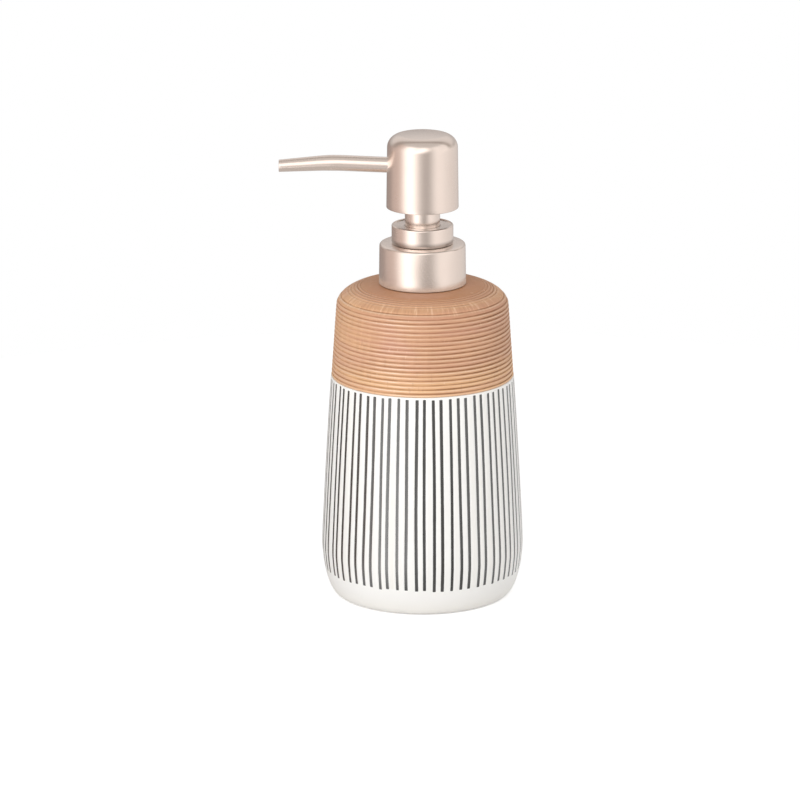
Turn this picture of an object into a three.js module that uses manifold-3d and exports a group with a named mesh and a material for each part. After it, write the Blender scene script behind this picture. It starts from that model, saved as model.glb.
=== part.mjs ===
// Soap pump dispenser: a striped ceramic bottle, a turned wooden shoulder sleeve and a screw-on lotion pump.
// Millimetres, +Z up. The origin is the centre of the flat base, and the spout points along -X.
import * as THREE from 'three';
import { mergeVertices } from 'three/addons/utils/BufferGeometryUtils.js';
import Module from 'manifold-3d';

const wasm = await Module();
wasm.setup();

// ---- Driving dimensions ----

// Ceramic bottle
const baseRadius = 31;
const bellyRadius = 37.5;
const bellyHeight = 21;
const seamHeight = 83.6;
const seamRadius = 34;
const sideBulge = 0.2;
const ceramicWall = 2.4;
const shoulderWall = 2.2;
const floorThickness = 3.2;

// Wooden sleeve, bonded over the bottle's shoulder
const bondGap = 0.15;
const rimLip = 0.2;
const woodWall = 2.5;
const woodHeight = 34.7;
const woodTopRadius = 31.9;
const shoulderRise = 8.2;
const shoulderFlatWidth = 2.5;
const ribPitch = 1.62;
const ribDepth = 0.35;
const topRibDrop = 4.5;
const fineRibPitch = 1.05;
const fineRibDepth = 0.15;
const fineRibCount = 4;
const fineRibRadius = 24.4;

// Fits
const pressGap = 0.15;
const slipGap = 0.1;
const runGap = 0.35;

// Pump, from the stem outwards
const stemSleeveRadius = 6.5;
const stemSleeveWall = 0.8;
const guideWall = 0.8;
const housingWall = 1;
const neckBoreGap = 0.55;
const neckWall = 2;
const neckRingWall = 1.15;
const threadDepth = 1.1;
const threadGap = 0.3;
const threadPitch = 25.4 / 6;
const threadTurns = 0.9;
const threadFade = 0.1;
const threadWidth = 2.2;
const threadCrest = 1;
const insertWall = 1.4;
const collarWall = 0.6;
const sleeveCollarWall = 1.55;
const guideSkirtWall = 1.1;
const ringCapWall = 0.7;
const headGap = 1.1;
const headWall = 0.7;

// Pump, from the wooden shoulder upwards
const neckHeight = 9.8;
const neckLip = 0.8;
const gasketThickness = 1.2;
const flangeThickness = 1.4;
const insertPlate = 2;
const ringCapHeight = 6.95;
const guidePlate = 0.6;
const exposedStem = 6.45;
const strokeStop = 0.8;
const headHeight = 27.7;
const headDraft = 0.2;
const headCornerRadius = 5.2;

// Inside the head
const coreRecess = 10.6;
const coreDepth = 9.6;
const hubRadius = 6.4;
const ribThickness = 1.4;
const bossLength = 9;
const spoutBossWall = 1.5;
const channelRadius = 1.5;
const channelHeight = 15.9;
const socketDepth = 6;

// Spout
const spoutReach = 52.8;
const spoutBendReach = 33.8;
const spoutBendRise = 0.85;
const spoutTipDrop = 0.4;
const spoutRadius = 2.9;
const spoutTipRadius = 2.25;
const spoutWall = 0.55;
const linerWall = 0.5;
const linerCutBack = 0.8;

// Piston pump inside the housing
const guideFloor = 1.8;
const guideFloorDepth = 4.8;
const sleeveStopGap = 1.2;
const cylinderRadius = 5.9;
const cylinderLength = 45.3;
const stemRadius = 3.25;
const stemWall = 1.35;
const stemShoulder = 1.4;
const stemShoulderRadius = 4.9;
const pistonHeight = 5.8;
const valveShift = 1.2;
const valveFlange = 1.3;
const valvePinLength = 8;
const valveSpigotLength = 6;
const springWire = 0.8;
const springRadius = 4.3;
const springTurns = 9;
const cageThickness = 1.5;
const cageLedge = 0.4;
const cageBar = 0.7;
const ballRadius = 2.3;
const ballLift = 1;
const ballGap = 1.1;
const seatDepth = 1.5;
const throatRadius = 1.7;
const throatLength = 1;
const socketLength = 8;
const dipTubeRadius = 3;
const dipTubeWall = 0.8;
const dipTubeClearance = 2.9;
const dipTubeBevel = 3;

// Facets round each ring
const wideFacets = 36;
const ringFacets = 24;
const smallFacets = 16;
const springStepsPerTurn = 12;
const springSides = 5;

// ---- Fits worked out from the driving dimensions ----

const woodBottom = seamHeight + bondGap;
const shoulderTop = woodBottom + woodHeight;

const guideBore = stemSleeveRadius + runGap;
const guideRadius = guideBore + guideWall;
const housingBore = guideRadius + slipGap;
const housingRadius = housingBore + housingWall;
const neckBore = housingRadius + neckBoreGap;
const neckRadius = neckBore + neckWall;
const neckRingBore = neckRadius + slipGap;
const neckRingRadius = neckRingBore + neckRingWall;
const threadRadius = neckRingRadius + threadDepth;
const insertBore = threadRadius + threadGap;
const insertRadius = insertBore + insertWall;
const collarBore = insertRadius + pressGap;
const collarRadius = collarBore + collarWall;
const woodBore = neckRadius + bondGap * 2;
const shoulderFlatRadius = threadRadius + shoulderFlatWidth;

const housingSleeveRadius = housingBore + sleeveCollarWall;
const skirtBore = housingSleeveRadius + pressGap;
const skirtRadius = skirtBore + guideSkirtWall;
const ringCapBore = skirtRadius + pressGap;
const ringCapRadius = ringCapBore + ringCapWall;
const headBore = ringCapRadius + headGap;
const headRadius = headBore + headWall;

const neckRingBottom = shoulderTop + threadGap;
const neckRim = shoulderTop + neckHeight;
const neckTop = neckRim - neckLip - slipGap * 2;
const flangeBottom = neckRim + gasketThickness;
const flangeTop = flangeBottom + flangeThickness;
const insertPlateBottom = flangeTop + pressGap;
const insertTop = insertPlateBottom + insertPlate;
const collarTop = insertTop + pressGap + collarWall;
const ringCapBottom = collarTop + pressGap;
const ringCapTop = ringCapBottom + ringCapHeight;
const guideTop = ringCapTop - collarWall - slipGap * 2;
const housingTop = guideTop - guidePlate - slipGap * 2;

const headBottom = ringCapTop + exposedStem;
const headTop = headBottom + headHeight;
const stroke = headBottom - collarTop - strokeStop;
const coreBottom = headBottom + coreRecess;
const channelZ = headBottom + channelHeight;
const stemTop = channelZ - spoutRadius;

const guideFloorTop = neckRim - guideFloorDepth;
const guideFloorBottom = guideFloorTop - guideFloor;
const stemSleeveBottom = guideFloorTop + stroke + sleeveStopGap;
const cylinderTop = guideFloorBottom - slipGap * 2;
const cylinderFloor = cylinderTop - cylinderLength;
const shoulderBottom = guideFloorBottom - pressGap - stemShoulder;
const pistonTop = shoulderBottom - valveShift - pressGap;
const pistonBottom = pistonTop - pistonHeight;
const valveFlangeTop = pistonBottom - pressGap;
const valveFlangeBottom = valveFlangeTop - valveFlange;
const stemBore = stemRadius - stemWall;
const cageTop = cylinderFloor + slipGap + cageThickness;
const ballChamberRadius = ballRadius + ballGap;
const ballSeatRise = Math.sqrt(ballRadius ** 2 - throatRadius ** 2) + slipGap;
const seatBottom = cylinderFloor - ballSeatRise - ballRadius - ballLift;
const ballChamberFloor = seatBottom + seatDepth;
const ballCentre = seatBottom + ballSeatRise;
const socketTop = seatBottom - throatLength;
const socketBottom = socketTop - socketLength;
const dipSocketRadius = dipTubeRadius + slipGap;
const spigotRadius = dipSocketRadius + housingWall + pressGap * 2;
const dipTubeBottom = floorThickness + dipTubeClearance;

// ---- Finishes ----

const finish = (color, roughness, metalness = 0, extra = {}) =>
  new THREE.MeshStandardMaterial({ color, roughness, metalness, ...extra });

const whiteGlaze = finish('#f3f1ec', 0.3);
const turnedWood = finish('#c98f66', 0.6);
const roseMetal = finish('#d9bfb3', 0.32, 1);
const whitePlastic = finish('#eeeeea', 0.5);
const clearPlastic = finish('#e8ecec', 0.35, 0, { transparent: true, opacity: 0.6 });
const softSeal = finish('#d5d6d2', 0.75);
const steel = finish('#b9bcc0', 0.28, 1);

// ---- Modelling helpers ----

// Points of an elliptical arc in the (radius, height) plane; angles in degrees, 0 pointing outwards.
function arc(centreR, centreZ, radiusR, radiusZ, from, to, steps) {
  return Array.from({ length: steps + 1 }, (_, i) => {
    const angle = THREE.MathUtils.degToRad(THREE.MathUtils.lerp(from, to, i / steps));
    return [centreR + radiusR * Math.cos(angle), centreZ + radiusZ * Math.sin(angle)];
  });
}

// Turns a closed outline of [radius, height] points about +Z. The outline runs counter-clockwise.
function turned(outline, facets) {
  const points = outline.map(([r, z]) => new THREE.Vector2(r, z));
  const touchesAxis = outline[0][0] === 0 && outline.at(-1)[0] === 0;
  if (!touchesAxis) points.push(points[0].clone());
  return new THREE.LatheGeometry(points, facets).rotateX(Math.PI / 2);
}

// A plain ring, or a disc where the bore is zero.
function ring(bore, radius, bottom, top, facets) {
  return turned([[bore, bottom], [radius, bottom], [radius, top], [bore, top]], facets);
}

// Joins cross-sections, each a loop of Vector3 in the same order, into one closed skin. The ends are
// capped, or the last section joins the first where the skin is a ring.
function loft(sections, isRing = false) {
  const sides = sections[0].length;
  const triangles = [];
  const spans = isRing ? sections.length : sections.length - 1;
  for (let i = 0; i < spans; i++) {
    const here = i * sides;
    const next = ((i + 1) % sections.length) * sides;
    for (let j = 0; j < sides; j++) {
      const k = (j + 1) % sides;
      triangles.push(here + j, here + k, next + k);
      triangles.push(here + j, next + k, next + j);
    }
  }
  const last = (sections.length - 1) * sides;
  for (let j = 1; j < sides - 1 && !isRing; j++) {
    triangles.push(0, j + 1, j);
    triangles.push(last, last + j, last + j + 1);
  }
  const geometry = new THREE.BufferGeometry().setFromPoints(sections.flat());
  geometry.setIndex(triangles);
  return geometry;
}

function toSolid(geometry) {
  const bare = new THREE.BufferGeometry();
  bare.setAttribute('position', geometry.getAttribute('position'));
  bare.setIndex(geometry.index);
  const merged = mergeVertices(bare, 1e-4);
  return new wasm.Manifold(new wasm.Mesh({
    numProp: 3,
    vertProperties: merged.attributes.position.array,
    triVerts: new Uint32Array(merged.index.array),
  }));
}

function fromSolid(solid) {
  const mesh = solid.getMesh();
  const geometry = new THREE.BufferGeometry();
  geometry.setAttribute('position', new THREE.BufferAttribute(mesh.vertProperties, 3));
  geometry.setIndex(new THREE.BufferAttribute(mesh.triVerts, 1));
  geometry.computeVertexNormals();
  return geometry;
}

const joined = (...parts) =>
  fromSolid(parts.map(toSolid).reduce((whole, part) => whole.add(part)));
const cut = (body, ...tools) =>
  fromSolid(tools.map(toSolid).reduce((left, tool) => left.subtract(tool), toSolid(body)));

function box(fromX, toX, fromY, toY, fromZ, toZ) {
  return new THREE.BoxGeometry(toX - fromX, toY - fromY, toZ - fromZ)
    .translate((fromX + toX) / 2, (fromY + toY) / 2, (fromZ + toZ) / 2);
}

// A round rod along X, from fromX to toX, at the height z.
function rodAlongX(radius, fromX, toX, z) {
  return new THREE.CylinderGeometry(radius, radius, toX - fromX, smallFacets)
    .rotateZ(Math.PI / 2)
    .translate((fromX + toX) / 2, 0, z);
}

// Turns an outline that carries a screw ridge. The ridge is a trapezoid on a right-hand helix, reach high
// (negative for an inside thread), that fades in and out over its run. outlineWith gets its four points
// at an angle. Over the rest of the turn they lie flat on the wall and come back down to the start.
function threaded(outlineWith, wall, reach, startAngle, startZ) {
  const sections = [];
  for (let i = 0; i < wideFacets; i++) {
    const turn = i / wideFacets;
    const angle = startAngle + turn * 2 * Math.PI;
    const back = (1 - turn) / (1 - threadTurns);
    const z = startZ + threadPitch * Math.min(turn, threadTurns * back);
    const fade = THREE.MathUtils.clamp(Math.min(turn, threadTurns - turn) / threadFade, 0, 1);
    const crest = wall + reach * fade;
    const ridge = [
      [wall, z - threadWidth / 2],
      [crest, z - threadCrest / 2],
      [crest, z + threadCrest / 2],
      [wall, z + threadWidth / 2],
    ];
    const section = outlineWith(ridge).map(([r, h]) =>
      new THREE.Vector3(r * Math.cos(angle), r * Math.sin(angle), h));
    sections.push(section.reverse());
  }
  return loft(sections, true);
}

const assembly = new THREE.Group();
assembly.name = 'soap_pump_dispenser';

function add(group, name, geometry, material) {
  const mesh = new THREE.Mesh(geometry, material);
  mesh.name = name;
  group.add(mesh);
  return mesh;
}

function addGroup(name) {
  const group = new THREE.Group();
  group.name = name;
  assembly.add(group);
  return group;
}

// ---- Bottle ----

// Radius of the ceramic's outer side between the belly and the seam.
function sideRadius(z) {
  const t = (z - bellyHeight) / (seamHeight - bellyHeight);
  return THREE.MathUtils.lerp(bellyRadius, seamRadius, t) + 4 * sideBulge * t * (1 - t);
}

// Heights of the upper body: the wood's side runs straight from the seam to here, and then rounds over.
const shoulderStart = shoulderTop - shoulderRise;
const woodSeamRadius = seamRadius - rimLip;
const innerShoulderStart = shoulderStart - 2;
const innerShoulderTop = shoulderTop - woodWall - bondGap * 2;

function ceramicBottle() {
  const sideSteps = 4;
  const side = Array.from({ length: sideSteps + 1 }, (_, i) => {
    const z = THREE.MathUtils.lerp(bellyHeight, seamHeight, i / sideSteps);
    return [sideRadius(z), z];
  });
  const corner = arc(baseRadius, bellyHeight, bellyRadius - baseRadius, bellyHeight, -90, -15, 6);
  const rebateFoot = woodSeamRadius - woodWall - bondGap;
  const rebateHead = woodTopRadius - woodWall - bondGap;
  const shoulder = arc(shoulderFlatRadius, innerShoulderStart, rebateHead - shoulderFlatRadius,
    innerShoulderTop - innerShoulderStart, 0, 90, 5);
  const innerTop = innerShoulderTop - shoulderWall;
  const innerHead = rebateHead - shoulderWall;
  const innerShoulder = arc(shoulderFlatRadius, innerShoulderStart, innerHead - shoulderFlatRadius,
    innerTop - innerShoulderStart, 90, 0, 4);
  const innerBelly = arc(baseRadius - ceramicWall, bellyHeight, bellyRadius - baseRadius,
    bellyHeight - floorThickness, 0, -90, 4);
  const outline = [
    [0, 0],
    ...corner,
    ...side,
    [rebateFoot, seamHeight],
    ...shoulder,
    [neckRadius, innerShoulderTop],
    [neckRadius, neckTop],
    [neckBore, neckTop],
    [neckBore, innerTop],
    ...innerShoulder,
    [rebateFoot - shoulderWall, seamHeight + shoulderWall / 2],
    [sideRadius(seamHeight - ceramicWall) - ceramicWall, seamHeight - ceramicWall * 1.5],
    ...innerBelly,
    [0, floorThickness],
  ];
  return turned(outline, wideFacets);
}

// Radius of the wood's plain outer form at a height: a straight taper, then a quarter ellipse.
function woodRadius(z) {
  if (z <= shoulderStart) {
    return THREE.MathUtils.mapLinear(z, woodBottom, shoulderStart, woodSeamRadius, woodTopRadius);
  }
  const rise = (z - shoulderStart) / shoulderRise;
  return shoulderFlatRadius + (woodTopRadius - shoulderFlatRadius) * Math.sqrt(1 - rise * rise);
}

// Height of the shoulder at a radius, the inverse of the ellipse above.
function shoulderHeight(r) {
  const across = (r - shoulderFlatRadius) / (woodTopRadius - shoulderFlatRadius);
  return shoulderStart + shoulderRise * Math.sqrt(1 - across * across);
}

// The sleeve's side is ribbed: shallow V grooves, with a few finer rings on the shoulder above a plain band.
function woodSleeve() {
  const topRib = shoulderTop - topRibDrop;
  const ribs = Math.floor((topRib - woodBottom - ribPitch / 2) / ribPitch);
  const side = [[woodSeamRadius, woodBottom]];
  for (let i = ribs; i >= 0; i--) {
    const groove = topRib - i * ribPitch;
    side.push([woodRadius(groove - ribPitch / 2), groove - ribPitch / 2]);
    side.push([woodRadius(groove) - ribDepth, groove]);
  }
  const fineRibs = [];
  for (let i = fineRibCount - 1; i >= 0; i--) {
    const r = fineRibRadius + i * fineRibPitch;
    fineRibs.push([r + fineRibPitch / 2, shoulderHeight(r + fineRibPitch / 2)]);
    fineRibs.push([r, shoulderHeight(r) - fineRibDepth]);
  }
  const innerRib = fineRibRadius - fineRibPitch / 2;
  const crown = (innerRib + shoulderFlatRadius) / 2;
  const innerHead = woodTopRadius - woodWall;
  const innerShoulder = arc(shoulderFlatRadius, innerShoulderStart, innerHead - shoulderFlatRadius,
    innerShoulderTop + bondGap - innerShoulderStart, 90, 0, 5);
  const outline = [
    [woodSeamRadius - woodWall, woodBottom],
    ...side,
    [woodRadius(topRib + ribPitch / 2), topRib + ribPitch / 2],
    ...fineRibs,
    [innerRib, shoulderHeight(innerRib)],
    [crown, shoulderHeight(crown)],
    [shoulderFlatRadius, shoulderTop],
    [woodBore, shoulderTop],
    [woodBore, innerShoulderTop + bondGap],
    ...innerShoulder,
  ];
  return turned(outline, wideFacets);
}

// Screw finish bonded over the plain ceramic neck, with a lip that covers the neck's rim.
const threadStart = neckRingBottom + threadWidth + 1;

function neckRing() {
  const outline = (ridge) => [
    [neckRingBore, neckRingBottom],
    [neckRingRadius, neckRingBottom],
    ...ridge,
    [neckRingRadius, neckRim],
    [neckBore + slipGap, neckRim],
    [neckBore + slipGap, neckRim - neckLip],
    [neckRingBore, neckRim - neckLip],
  ];
  return threaded(outline, neckRingRadius, threadDepth, 0, threadStart);
}

const bottle = addGroup('bottle');
add(bottle, 'ceramic_bottle', ceramicBottle(), whiteGlaze);
add(bottle, 'wood_sleeve', woodSleeve(), turnedWood);
add(bottle, 'neck_ring', neckRing(), whitePlastic);

const gasket = addGroup('gasket');
add(gasket, 'neck_gasket', ring(housingRadius + slipGap, neckRingRadius - slipGap,
  neckRim, flangeBottom, ringFacets), softSeal);

// ---- Pump unit that hangs in the neck ----

function pumpHousing() {
  const wideBottom = cylinderTop - 1.5;
  const outerCylinder = cylinderRadius + housingWall;
  return turned([
    [dipSocketRadius, socketBottom],
    [spigotRadius, socketBottom],
    [spigotRadius, ballChamberFloor],
    [outerCylinder, cylinderFloor - housingWall],
    [outerCylinder, wideBottom - housingWall],
    [housingRadius, wideBottom],
    [housingRadius, flangeBottom],
    [neckRingRadius - slipGap, flangeBottom],
    [neckRingRadius - slipGap, flangeTop],
    [housingSleeveRadius, flangeTop],
    [housingSleeveRadius, housingTop],
    [housingBore, housingTop],
    [housingBore, cylinderTop],
    [cylinderRadius, cylinderTop],
    [cylinderRadius, cylinderFloor],
    [ballChamberRadius, cylinderFloor],
    [ballChamberRadius, ballChamberFloor],
    [throatRadius, seatBottom],
    [throatRadius, socketTop],
    [dipSocketRadius, socketTop],
  ], ringFacets);
}

// Guide that snaps into the housing from above. It steers the stem, holds it in, and traps the collar.
function stemGuide() {
  return turned([
    [stemRadius + runGap, guideFloorBottom],
    [guideRadius, guideFloorBottom],
    [guideRadius, guideTop - guidePlate],
    [skirtBore, guideTop - guidePlate],
    [skirtBore, ringCapBottom],
    [skirtRadius, ringCapBottom],
    [skirtRadius, guideTop],
    [guideBore, guideTop],
    [guideBore, guideFloorTop],
    [stemRadius + runGap, guideFloorTop],
  ], ringFacets);
}

function ringCap() {
  const edge = 0.5;
  return turned([
    [ringCapBore, ringCapBottom],
    [ringCapRadius, ringCapBottom],
    ...arc(ringCapRadius - edge, ringCapTop - edge, edge, edge, 0, 90, 3),
    [guideBore, ringCapTop],
    [guideBore, ringCapTop - collarWall],
    [ringCapBore, ringCapTop - collarWall],
  ], wideFacets);
}

// Ring that seats the spring, with two crossed bars, a little thinner than it, that stop the ball.
function ballCage() {
  const bottom = cylinderFloor + slipGap;
  const radius = cylinderRadius - pressGap;
  const bore = ballChamberRadius - cageLedge;
  const reach = (bore + radius) / 2;
  const half = cageBar / 2;
  return joined(
    ring(bore, radius, bottom, cageTop, smallFacets),
    box(-reach, reach, -half, half, bottom + slipGap, cageTop - slipGap),
    box(-half, half, -reach, reach, bottom + slipGap * 2, cageTop - slipGap * 2),
  );
}

// Centre line of a coil whose first and last turns lie nearly flat against their seats.
class CoilCurve extends THREE.Curve {
  constructor(radius, turns, bottom, top) {
    super();
    Object.assign(this, { radius, turns, bottom, top });
  }

  getPoint(t, target = new THREE.Vector3()) {
    const angle = t * this.turns * 2 * Math.PI;
    const endTurn = 0.8 / this.turns;
    const climb = THREE.MathUtils.clamp((t - endTurn) / (1 - 2 * endTurn), 0, 1);
    const rise = THREE.MathUtils.lerp(climb, t, 0.25);
    const z = THREE.MathUtils.lerp(this.bottom, this.top, rise);
    return target.set(this.radius * Math.cos(angle), this.radius * Math.sin(angle), z);
  }
}

function returnSpring() {
  const bottom = cageTop + slipGap + springWire / 2;
  const top = valveFlangeBottom - slipGap - springWire / 2;
  const corners = Array.from({ length: springSides }, (_, i) =>
    new THREE.Vector2(springWire / 2, 0).rotateAround(new THREE.Vector2(), (i / springSides) * 2 * Math.PI));
  return new THREE.ExtrudeGeometry(new THREE.Shape(corners), {
    steps: springTurns * springStepsPerTurn,
    extrudePath: new CoilCurve(springRadius, springTurns, bottom, top),
  });
}

function dipTube() {
  const top = socketTop - slipGap;
  const tube = ring(dipTubeRadius - dipTubeWall, dipTubeRadius, dipTubeBottom, top, smallFacets);
  const wedge = box(-20, 20, -20, 20, -20, 0)
    .rotateY(Math.atan2(dipTubeBevel, dipTubeRadius * 2))
    .translate(0, 0, dipTubeBottom + dipTubeBevel / 2);
  return cut(tube, wedge);
}

const pumpUnit = addGroup('pump_unit');
add(pumpUnit, 'pump_housing', pumpHousing(), clearPlastic);
add(pumpUnit, 'stem_guide', stemGuide(), whitePlastic);
add(pumpUnit, 'ring_cap', ringCap(), roseMetal);
add(pumpUnit, 'ball_cage', ballCage(), whitePlastic);
add(pumpUnit, 'return_spring', returnSpring(), steel);
add(pumpUnit, 'dip_tube', dipTube(), clearPlastic);

const inletBall = addGroup('inlet_ball');
add(inletBall, 'check_ball', new THREE.SphereGeometry(ballRadius, 16, 10)
  .rotateX(Math.PI / 2).translate(0, 0, ballCentre), steel);

// ---- Screw collar ----

const collarBottom = shoulderTop + threadGap;

function collarShell() {
  const edge = 1;
  const draft = 0.2;
  return turned([
    [collarBore, collarBottom],
    [collarRadius, collarBottom],
    ...arc(collarRadius - draft - edge, collarTop - edge, edge, edge, 0, 90, 4),
    [housingSleeveRadius + runGap, collarTop],
    [housingSleeveRadius + runGap, collarTop - collarWall],
    [collarBore - edge, collarTop - collarWall],
    [collarBore, collarTop - collarWall - edge],
  ], wideFacets);
}

// Threaded liner pressed into the collar. Its ridge starts a quarter turn on and runs half a pitch
// below the neck's.
function collarInsert() {
  const bottom = collarBottom + threadGap;
  const chamfer = 1.2;
  const outline = (ridge) => [
    [insertBore, bottom],
    [insertRadius, bottom],
    [insertRadius, insertTop - chamfer],
    [insertRadius - chamfer, insertTop],
    [housingSleeveRadius + runGap, insertTop],
    [housingSleeveRadius + runGap, insertPlateBottom],
    [insertBore, insertPlateBottom],
    ...ridge.reverse(),
  ];
  const ridgeStart = threadStart + threadPitch / 4 - threadPitch / 2;
  return threaded(outline, insertBore, -threadDepth, Math.PI / 2, ridgeStart);
}

const collar = addGroup('collar');
add(collar, 'collar_shell', collarShell(), roseMetal);
add(collar, 'collar_insert', collarInsert(), whitePlastic);

// ---- Plunger: valve stem and the piston that shifts on it ----

function valveStem() {
  const post = stemBore + 0.5;
  const body = turned([
    [0, valveFlangeBottom - valvePinLength],
    [post, valveFlangeBottom - valvePinLength],
    [post, valveFlangeBottom],
    [stemShoulderRadius, valveFlangeBottom],
    [stemShoulderRadius, valveFlangeTop],
    [post, valveFlangeTop],
    [post, shoulderBottom - slipGap],
    [stemBore - slipGap, shoulderBottom - slipGap],
    [stemBore - slipGap, shoulderBottom + valveSpigotLength],
    [0, shoulderBottom + valveSpigotLength],
  ], smallFacets);
  // Flats along the spigot and post let the liquid pass up into the hollow stem.
  const flat = stemBore * 0.55;
  const from = valveFlangeTop + 1;
  const to = shoulderBottom + valveSpigotLength + 1;
  return cut(body, box(flat, 10, -10, 10, from, to), box(-10, -flat, -10, 10, from, to));
}

// Double-lipped seal: both lips brush the cylinder, and the waist between them is thinner.
function piston() {
  const bore = stemBore + 0.5 + pressGap;
  const lip = cylinderRadius - pressGap;
  const waist = lip - 1.2;
  return turned([
    [bore, pistonBottom],
    [lip - 0.8, pistonBottom],
    [lip, pistonBottom + 0.4],
    [waist, pistonBottom + 1.8],
    [waist, pistonTop - 1.8],
    [lip, pistonTop - 0.4],
    [lip - 0.8, pistonTop],
    [bore, pistonTop],
  ], smallFacets);
}

const plunger = addGroup('plunger');
add(plunger, 'valve_stem', valveStem(), whitePlastic);
const pistonGroup = addGroup('piston_seal');
add(pistonGroup, 'piston', piston(), softSeal);

// ---- Head ----

const stemBoreTop = stemTop + slipGap;

function stemTube() {
  return turned([
    [stemBore, shoulderBottom],
    [stemShoulderRadius, shoulderBottom],
    [stemShoulderRadius, shoulderBottom + stemShoulder],
    [stemRadius, shoulderBottom + stemShoulder],
    [stemRadius, stemTop],
    [stemBore, stemTop],
  ], smallFacets);
}

// Closed dome over an open skirt that telescopes over the ring cap.
function headShell() {
  const topRadius = headRadius - headDraft;
  const innerTop = topRadius - headWall;
  const corner = headCornerRadius;
  const innerCorner = corner - headWall;
  const shell = turned([
    [headBore, headBottom],
    [headRadius, headBottom],
    ...arc(topRadius - corner, headTop - corner, corner, corner, 0, 90, 7),
    [0, headTop],
    [0, headTop - headWall],
    ...arc(innerTop - innerCorner, headTop - headWall - innerCorner, innerCorner, innerCorner, 90, 0, 5),
    [headBore, headBottom],
  ], wideFacets);
  return cut(shell, rodAlongX(spoutRadius + pressGap, -headRadius - 5, -headBore + 5, channelZ));
}

// Moulded core: a disc with cross ribs that grips the shell, a hub for the stem and a socket for the spout.
function headCore() {
  const radius = headBore - headDraft - slipGap;
  const plate = 2;
  const coreTop = coreBottom + coreDepth;
  const bossRadius = stemSleeveRadius - stemSleeveWall - pressGap;
  const half = ribThickness / 2;
  const spoutBoss = spoutRadius + spoutBossWall;
  const spoutBossReach = Math.sqrt(radius ** 2 - spoutBoss ** 2);
  const block = joined(
    ring(0, radius, coreBottom, coreBottom + plate, ringFacets),
    ring(0, hubRadius, coreBottom + plate / 2, coreTop, ringFacets),
    ring(0, bossRadius, coreBottom - bossLength, coreBottom + plate / 2, ringFacets),
    box(-radius + 0.4, radius - 0.4, -half, half, coreBottom + plate / 2, coreTop - plate),
    box(-half, half, -radius + 0.4, radius - 0.4, coreBottom + plate / 2, coreTop - plate),
    rodAlongX(spoutBoss, -spoutBossReach, 0, channelZ),
  );
  return cut(block,
    ring(0, stemRadius + slipGap, coreBottom - bossLength - 1, stemBoreTop, smallFacets),
    ring(0, stemBore, stemBoreTop - stemWall, channelZ + channelRadius / 2, smallFacets),
    rodAlongX(channelRadius, -radius, channelRadius / 3, channelZ),
    rodAlongX(spoutRadius + slipGap, -radius - 5, -radius + socketDepth, channelZ),
  );
}

// The spout's centre line: level out of the head, a slight rise, a soft knee, then a slight fall.
const spoutStart = headBore - headDraft - slipGap - socketDepth + slipGap * 2;
const kneeSoftness = 5;

function spoutPath() {
  const start = new THREE.Vector3(-spoutStart, 0, channelZ);
  const root = new THREE.Vector3(-headRadius, 0, channelZ);
  const knee = new THREE.Vector3(-spoutBendReach, 0, channelZ + spoutBendRise);
  const tip = new THREE.Vector3(-spoutReach, 0, channelZ - spoutTipDrop);
  const towards = (end) => knee.clone().add(end.clone().sub(knee).setLength(kneeSoftness));
  const path = new THREE.CurvePath();
  path.add(new THREE.LineCurve3(start, root));
  path.add(new THREE.LineCurve3(root, towards(root)));
  path.add(new THREE.QuadraticBezierCurve3(towards(root), knee, towards(tip)));
  path.add(new THREE.LineCurve3(towards(tip), tip));
  return path;
}

// Cross-sections along the spout: full bore up to the knee, then narrowing to the tip. Both ends are
// cut upright.
function spoutSections(radius, cutBack) {
  const path = spoutPath();
  const [, kneeFrom, kneeTo] = path.getCurveLengths();
  const kneeSteps = 4;
  const stations = [0, path.getCurveLengths()[0]];
  for (let i = 0; i <= kneeSteps; i++) {
    stations.push(THREE.MathUtils.lerp(kneeFrom, kneeTo, i / kneeSteps));
  }
  stations.push(path.getLength() - cutBack);
  return stations.map((station, i) => {
    const t = station / path.getLength();
    const point = path.getPointAt(t);
    const isEnd = i === 0 || i === stations.length - 1;
    const tangent = isEnd ? new THREE.Vector3(-1, 0, 0) : path.getTangentAt(t);
    const up = new THREE.Vector3(tangent.z, 0, -tangent.x);
    const taper = THREE.MathUtils.clamp((-point.x - spoutBendReach) / (spoutReach - spoutBendReach), 0, 1);
    const r = radius - (spoutRadius - spoutTipRadius) * taper;
    return Array.from({ length: smallFacets }, (_, j) => {
      const turn = (j / smallFacets) * 2 * Math.PI;
      const across = new THREE.Vector3(0, r * Math.cos(turn), 0);
      return across.add(point).addScaledVector(up, r * Math.sin(turn));
    });
  });
}

function spoutPipe(outer, wall, cutBack) {
  const outside = spoutSections(outer, cutBack);
  const inside = spoutSections(outer - wall, cutBack);
  return loft([...inside, ...outside.reverse()], true);
}

const head = addGroup('head');
add(head, 'stem_tube', stemTube(), whitePlastic);
add(head, 'stem_sleeve', ring(stemSleeveRadius - stemSleeveWall, stemSleeveRadius,
  stemSleeveBottom, coreBottom - slipGap, ringFacets), roseMetal);
add(head, 'head_core', headCore(), whitePlastic);
add(head, 'head_shell', headShell(), roseMetal);
add(head, 'spout_tube', spoutPipe(spoutRadius, spoutWall, 0), roseMetal);
add(head, 'spout_liner', spoutPipe(spoutRadius - spoutWall - slipGap, linerWall, linerCutBack), whitePlastic);

export default assembly;
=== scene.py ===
from math import cos, degrees, dist, pi, radians, sin, sqrt

import bpy
import numpy as np
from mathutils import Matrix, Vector, noise


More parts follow.
